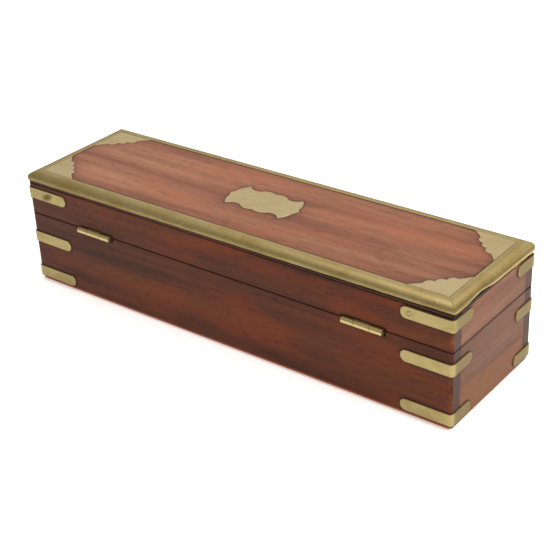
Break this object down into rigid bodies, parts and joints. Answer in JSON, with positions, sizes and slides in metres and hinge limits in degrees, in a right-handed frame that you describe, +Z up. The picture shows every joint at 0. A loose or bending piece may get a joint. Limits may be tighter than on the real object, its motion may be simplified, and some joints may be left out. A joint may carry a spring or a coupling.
{
  "type": "fountain pen case",
  "caption": "Long brass-bound hardwood pen box with hinged lid, wrapped corner straps, inlaid lid plates, small lock and a velvet-lined lift-out pen tray.",
  "frame": {"origin": "centre of the underside, on the surface that the box stands on", "axes": "+X along the length towards the right end as seen from the lock side, +Y towards the hinges, +Z up"},
  "size_m": [0.307, 0.0887, 0.0762],
  "materials": {
    "hardwood": "reddish brown hardwood, old oil and wax polish, satin",
    "hardwood_top": "the same hardwood faded lighter by light, wax polish, satin",
    "tray_hardwood": "planed hardwood, waxed",
    "old_brass": "hand polished yellow brass with an olive patina",
    "hardware_brass": "turned and milled brass, lightly tarnished",
    "velvet": "deep green silk velvet, short pile",
    "ribbon": "dark red woven ribbon"
  },
  "bodies": {
    "base": {"bottom_board": "hardwood", "base_front_board": "hardwood", "base_rear_board": "hardwood", "base_left_board": "hardwood", "base_right_board": "hardwood", "tray_ledgers": "tray_hardwood", "base_wall_lining": "velvet", "base_floor_lining": "velvet", "upper_strap_front_left": "old_brass", "upper_strap_front_right": "old_brass", "upper_strap_rear_left": "old_brass", "upper_strap_rear_right": "old_brass", "lower_strap_front_left": "old_brass", "lower_strap_front_right": "old_brass", "lower_strap_rear_left": "old_brass", "lower_strap_rear_right": "old_brass", "base_pins": "old_brass", "left_hinge_base_leaf": "old_brass", "left_hinge_pin": "hardware_brass", "right_hinge_base_leaf": "old_brass", "right_hinge_pin": "hardware_brass", "base_screws": "hardware_brass", "lock_case": "old_brass", "escutcheon": "old_brass"},
    "lid": {"lid_front_rail": "hardwood", "lid_rear_rail": "hardwood", "lid_left_rail": "hardwood", "lid_right_rail": "hardwood", "lid_top_board": "hardwood_top", "lid_wall_lining": "velvet", "lid_pad": "velvet", "edging_front": "old_brass", "edging_rear": "old_brass", "edging_left": "old_brass", "edging_right": "old_brass", "corner_plate_front_left": "old_brass", "corner_plate_front_right": "old_brass", "corner_plate_rear_left": "old_brass", "corner_plate_rear_right": "old_brass", "cartouche": "old_brass", "lid_strap_front_left": "old_brass", "lid_strap_front_right": "old_brass", "lid_strap_rear_left": "old_brass", "lid_strap_rear_right": "old_brass", "lid_pins": "old_brass", "left_hinge_lid_leaf": "old_brass", "right_hinge_lid_leaf": "old_brass", "lid_screws": "hardware_brass", "lid_link_plate": "old_brass"},
    "tray": {"tray_front_rail": "tray_hardwood", "tray_rear_rail": "tray_hardwood", "tray_left_rail": "tray_hardwood", "tray_right_rail": "tray_hardwood", "tray_floor": "tray_hardwood", "pen_channels_left": "velvet", "pen_channels_right": "velvet", "tray_divider": "tray_hardwood", "tray_pulls": "ribbon"},
    "lock_bolt": {"lock_bolt": "hardware_brass"}
  },
  "joints": [
    {"name": "lid_hinge", "type": "hinge", "parent": "base", "child": "lid", "pos_m": [0, 0.0432, 0.0475], "axis": [-1, 0, 0], "range_deg": [0, 175]},
    {"name": "tray_lift", "type": "slide", "parent": "base", "child": "tray", "axis": [0, 0, 1], "range_m": [0, 0.016]},
    {"name": "bolt_slide", "type": "slide", "parent": "base", "child": "lock_bolt", "axis": [-1, 0, 0], "range_m": [0, 0.003]}
  ]
}
